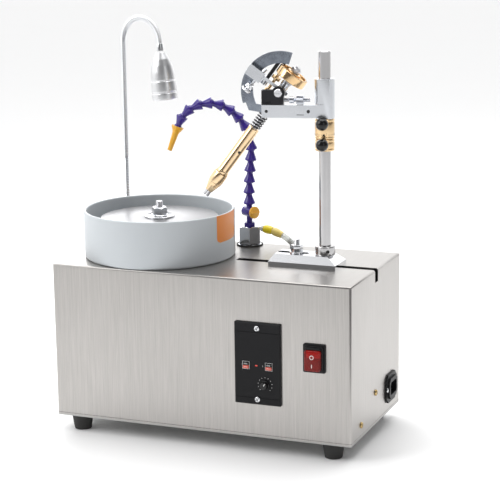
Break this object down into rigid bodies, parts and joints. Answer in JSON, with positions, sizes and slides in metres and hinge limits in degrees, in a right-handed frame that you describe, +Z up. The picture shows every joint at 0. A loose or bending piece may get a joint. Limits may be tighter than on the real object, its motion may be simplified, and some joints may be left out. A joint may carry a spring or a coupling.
{
  "type": "gem faceting machine",
  "caption": "Bench faceting machine: steel case with lap and drip pan, mast with tilting quill head, ball-joint coolant line and gooseneck lamp.",
  "frame": {"origin": "centre of the whole machine's footprint, at the height of the floor under its rubber feet", "axes": "+X to the right seen from the front, +Y to the back, +Z up"},
  "size_m": [0.4072, 0.232, 0.522],
  "materials": {
    "stainless": "brushed stainless sheet, vertical grain",
    "sheet_steel": "mill-finish sheet",
    "black_rubber": "moulded rubber",
    "brass_screws": "yellow-plated screws",
    "motor_paint": "satin dark paint",
    "copper_windings": "varnished copper windings",
    "rotor_steel": "laminated steel",
    "bearing_steel": "ground bearing steel",
    "inverter_case": "powder coat",
    "circuit_board": "green board",
    "black_panel": "fine-grained moulded plastic",
    "black_knob": "polished phenolic plastic",
    "salmon_button": "salmon-red cap",
    "black_plastic": "moulded plastic",
    "red_rocker": "translucent red",
    "red_boot": "translucent red-brown membrane",
    "grey_pan": "light grey turned plastic",
    "ground_steel": "ground and turned",
    "aluminium": "fine turned aluminium",
    "lap_grey": "satin, fine radial scratch",
    "chrome": "bright chrome",
    "chrome_mast": "ground and chromed rod",
    "brass": "turned, lacquered",
    "quill_brass": "turned, lacquered",
    "satin_chrome": "satin chrome",
    "blued_chrome": "blued chrome with a faint scale",
    "black_anodised": "black anodised",
    "spring_steel": "black oiled spring wire",
    "clear_hose": "clear flexible hose",
    "purple_plastic": "deep violet acetal",
    "yellow_plastic": "yellow-orange acetal",
    "gooseneck_chrome": "chromed spiral tube",
    "lamp_lens": "clear lens"
  },
  "bodies": {
    "case": {"case_shell": "stainless", "bottom_plate": "sheet_steel", "rubber_feet": "black_rubber", "case_screws": "brass_screws", "motor_housing": "motor_paint", "stator": "copper_windings", "bearings": "bearing_steel", "inverter_box": "inverter_case", "control_board": "circuit_board", "panel_bezel": "black_panel", "switch_frame": "black_plastic", "switch_boot": "red_boot", "inlet_body": "black_plastic", "drip_pan": "grey_pan", "hose_stand": "chrome", "supply_hose": "clear_hose", "water_inlet": "ground_steel", "coolant_valve": "purple_plastic", "lamp_base": "chrome"},
    "spindle": {"spindle": "ground_steel", "rotor": "rotor_steel", "lap_platen": "aluminium", "lap_disc": "lap_grey", "spindle_washer": "chrome", "spindle_nut": "chrome"},
    "speed_knob": {"speed_knob": "black_knob"},
    "run_button": {"run_button": "salmon_button"},
    "fwd_button": {"fwd_button": "salmon_button"},
    "rocker": {"switch_rocker": "red_rocker"},
    "carriage": {"carriage_plate": "chrome", "clamp_bolt": "ground_steel", "mast": "chrome_mast"},
    "clamp_nut": {"clamp_nut": "chrome"},
    "lower_collar": {"lower_collar": "brass"},
    "upper_collar": {"upper_collar": "brass"},
    "lower_knob": {"lower_knob": "black_knob"},
    "upper_knob": {"upper_knob": "black_knob"},
    "arm": {"arm": "satin_chrome", "pivot_block": "black_anodised", "quadrant": "blued_chrome"},
    "adjust_screw": {"adjust_screw": "blued_chrome"},
    "angle_stop": {"angle_stop": "chrome"},
    "stop_screw": {"stop_screw": "chrome"},
    "swing": {"swing_plate": "blued_chrome", "pivot_screw": "chrome", "index_lever": "black_anodised"},
    "index_plunger": {"index_plunger": "brass"},
    "quill": {"quill_shaft": "ground_steel", "quill_spring": "spring_steel", "quill_tube": "quill_brass", "index_wheel": "brass"},
    "collet_nut": {"collet_nut": "quill_brass"},
    "valve_knob": {"valve_knob": "yellow_plastic"},
    "line_column": {"coolant_column": "purple_plastic"},
    "line_arch": {"coolant_arch": "purple_plastic"},
    "line_nozzle": {"coolant_nozzle": "yellow_plastic"},
    "lamp_stem": {"lamp_neck": "gooseneck_chrome"},
    "lamp_arch": {"lamp_arch": "gooseneck_chrome"},
    "lamp_head": {"lamp_head": "aluminium", "lamp_lens": "lamp_lens"}
  },
  "joints": [
    {"name": "spindle_spin", "type": "hinge", "parent": "case", "child": "spindle", "pos_m": [-0.0944, -0.007, 0.2695], "axis": [0, 0, 1], "continuous": true},
    {"name": "speed_knob_turn", "type": "hinge", "parent": "case", "child": "speed_knob", "pos_m": [0.0891, -0.112, 0.0895], "axis": [0, -1, 0], "range_deg": [-135, 135]},
    {"name": "run_press", "type": "slide", "parent": "case", "child": "run_button", "axis": [0, 1, 0], "range_m": [0, 0.0008], "stiffness_N_per_m": 400},
    {"name": "fwd_press", "type": "slide", "parent": "case", "child": "fwd_button", "axis": [0, 1, 0], "range_m": [0, 0.0008], "stiffness_N_per_m": 400},
    {"name": "rocker_tilt", "type": "hinge", "parent": "case", "child": "rocker", "pos_m": [0.1523, -0.102, 0.1285], "axis": [1, 0, 0], "range_deg": [-14, 0]},
    {"name": "carriage_slide", "type": "slide", "parent": "case", "child": "carriage", "axis": [1, 0, 0], "range_m": [-0.045, 0.044]},
    {"name": "clamp_nut_turn", "type": "hinge", "parent": "carriage", "child": "clamp_nut", "pos_m": [0.0936, -0.004, 0.24], "axis": [0, 0, 1], "continuous": true},
    {"name": "height_slide", "type": "slide", "parent": "carriage", "child": "lower_collar", "axis": [0, 0, 1], "range_m": [-0.03, 0.028]},
    {"name": "fine_height", "type": "slide", "parent": "lower_collar", "child": "upper_collar", "axis": [0, 0, 1], "range_m": [0, 0.004]},
    {"name": "lower_knob_turn", "type": "hinge", "parent": "lower_collar", "child": "lower_knob", "pos_m": [0.13553, -0.02677, 0.376], "axis": [0.1908, -0.9816, 0], "range_deg": [-180, 180]},
    {"name": "upper_knob_turn", "type": "hinge", "parent": "upper_collar", "child": "upper_knob", "pos_m": [0.13553, -0.02677, 0.4015], "axis": [0.1908, -0.9816, 0], "range_deg": [-180, 180]},
    {"name": "arm_swing", "type": "hinge", "parent": "upper_collar", "child": "arm", "pos_m": [0.1311, -0.004, 0.43], "axis": [0, 0, 1], "range_deg": [-30, 30]},
    {"name": "adjust_turn", "type": "hinge", "parent": "arm", "child": "adjust_screw", "pos_m": [0.10425, -0.02198, 0.4298], "axis": [-0.9781, -0.2079, 0], "continuous": true},
    {"name": "stop_swing", "type": "hinge", "parent": "arm", "child": "angle_stop", "pos_m": [0.0773, -0.01544, 0.4387], "axis": [-0.2079, 0.9781, 0], "range_deg": [-30, 30]},
    {"name": "stop_screw_turn", "type": "hinge", "parent": "angle_stop", "child": "stop_screw", "pos_m": [0.05373, -0.02709, 0.45721], "axis": [-0.6917, -0.147, -0.7071], "continuous": true},
    {"name": "quill_tilt", "type": "hinge", "parent": "arm", "child": "swing", "pos_m": [0.0773, -0.01544, 0.4387], "axis": [-0.2079, 0.9781, 0], "range_deg": [-36, 53]},
    {"name": "index_pull", "type": "slide", "parent": "swing", "child": "index_plunger", "axis": [0.5818, 0.1237, 0.8039], "range_m": [-0.003, 0], "stiffness_N_per_m": 300},
    {"name": "quill_spin", "type": "hinge", "parent": "swing", "child": "quill", "pos_m": [0.07439, -0.00174, 0.4387], "axis": [0.5818, 0.1237, 0.8039], "continuous": true},
    {"name": "collet_turn", "type": "hinge", "parent": "quill", "child": "collet_nut", "pos_m": [-0.00706, -0.01905, 0.32616], "axis": [0.5818, 0.1237, 0.8039], "continuous": true},
    {"name": "valve_turn", "type": "hinge", "parent": "case", "child": "valve_knob", "pos_m": [-0.0044, 0.081, 0.2646], "axis": [0.8829, -0.4695, 0], "range_deg": [0, 90]},
    {"name": "line_swivel", "type": "hinge", "parent": "case", "child": "line_column", "pos_m": [-0.0044, 0.081, 0.277], "axis": [0, 0, 1], "range_deg": [-15, 15]},
    {"name": "line_bend", "type": "hinge", "parent": "line_column", "child": "line_arch", "pos_m": [-0.00257, 0.08186, 0.36381], "axis": [0.4226, -0.9063, 0], "range_deg": [-8, 8]},
    {"name": "nozzle_tilt", "type": "hinge", "parent": "line_arch", "child": "line_nozzle", "pos_m": [-0.08837, 0.04184, 0.37889], "axis": [0.4226, -0.9063, 0], "range_deg": [-10, 10]},
    {"name": "lamp_swivel", "type": "hinge", "parent": "case", "child": "lamp_stem", "pos_m": [-0.1804, 0.076, 0.23], "axis": [0, 0, 1], "range_deg": [-20, 20]},
    {"name": "neck_flex", "type": "hinge", "parent": "lamp_stem", "child": "lamp_arch", "pos_m": [-0.1804, 0.076, 0.33], "axis": [0.309, 0.9511, 0], "range_deg": [-10, 4]},
    {"name": "lamp_tilt", "type": "hinge", "parent": "lamp_arch", "child": "lamp_head", "pos_m": [-0.11641, 0.05521, 0.47453], "axis": [0.309, 0.9511, 0], "range_deg": [-15, 15]}
  ]
}
